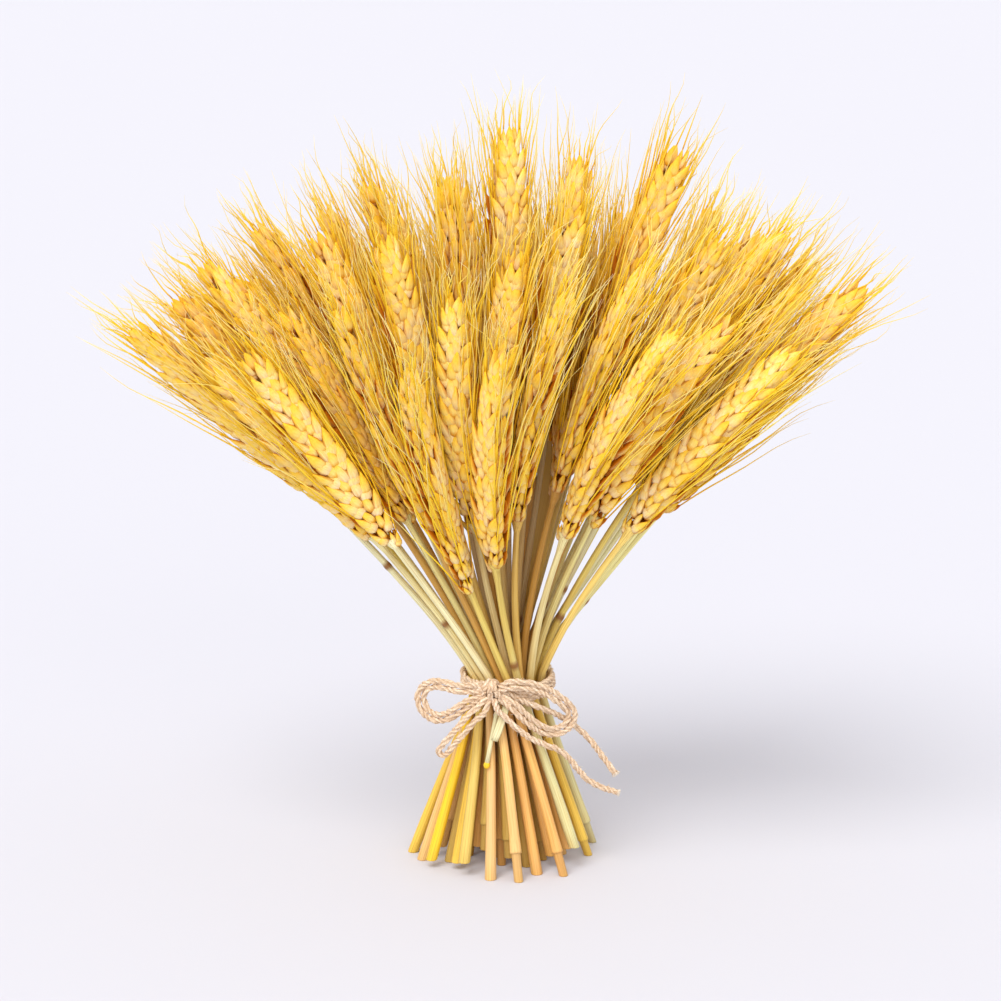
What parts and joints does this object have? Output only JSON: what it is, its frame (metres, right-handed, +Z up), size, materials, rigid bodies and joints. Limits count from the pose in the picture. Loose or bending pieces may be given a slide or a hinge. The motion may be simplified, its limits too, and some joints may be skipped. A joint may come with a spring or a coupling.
{
  "type": "bundle of dried wheat",
  "caption": "Standing sheaf of bearded dried wheat, its crown fanned out and its cut stems splayed, drawn together at the waist by a jute twine tied in a bow.",
  "frame": {"origin": "middle of the centre stalk's cut foot, on the surface that the sheaf stands on", "axes": "+Z up along the centre stalk, +Y from the bow at the front to the back, +X to the right seen from the front"},
  "size_m": [0.3135, 0.1556, 0.3083],
  "materials": {
    "straw": "dry golden straw, matt husks and faintly waxy stems",
    "jute": "coarse natural jute, plied and hairy"
  },
  "bodies": {
    "root": {"wheat_stalk_01": "straw", "wheat_stalk_02": "straw", "wheat_stalk_03": "straw", "wheat_stalk_04": "straw", "wheat_stalk_05": "straw", "wheat_stalk_06": "straw", "wheat_stalk_07": "straw", "wheat_stalk_08": "straw", "wheat_stalk_09": "straw", "wheat_stalk_10": "straw", "wheat_stalk_11": "straw", "wheat_stalk_12": "straw", "wheat_stalk_13": "straw", "wheat_stalk_14": "straw", "wheat_stalk_15": "straw", "wheat_stalk_16": "straw", "wheat_stalk_17": "straw", "wheat_stalk_18": "straw", "wheat_stalk_19": "straw", "wheat_stalk_20": "straw", "wheat_stalk_21": "straw", "wheat_stalk_22": "straw", "wheat_stalk_23": "straw", "wheat_stalk_24": "straw", "wheat_stalk_25": "straw", "wheat_stalk_26": "straw", "wheat_stalk_27": "straw", "wheat_stalk_28": "straw", "wheat_stalk_29": "straw", "wheat_stalk_30": "straw", "wheat_stalk_31": "straw", "wheat_stalk_32": "straw", "wheat_stalk_33": "straw", "wheat_stalk_34": "straw", "wheat_stalk_35": "straw", "wheat_stalk_36": "straw", "wheat_stalk_37": "straw", "wheat_stalk_38": "straw", "wheat_stalk_39": "straw", "wheat_stalk_40": "straw", "wheat_stalk_41": "straw", "wheat_stalk_42": "straw", "wheat_stalk_43": "straw", "wheat_stalk_44": "straw", "wheat_stalk_45": "straw", "wheat_stalk_46": "straw", "wheat_stalk_47": "straw", "wheat_stalk_48": "straw", "wheat_stalk_49": "straw", "wheat_stalk_50": "straw", "twine_band": "jute", "twine_knot": "jute", "bow_loop_left_outer": "jute", "bow_loop_right_outer": "jute", "bow_loop_left_inner": "jute", "bow_loop_right_inner": "jute", "bow_tail_left": "jute", "bow_tail_right_upper": "jute", "bow_tail_right_lower": "jute"}
  },
  "joints": []
}
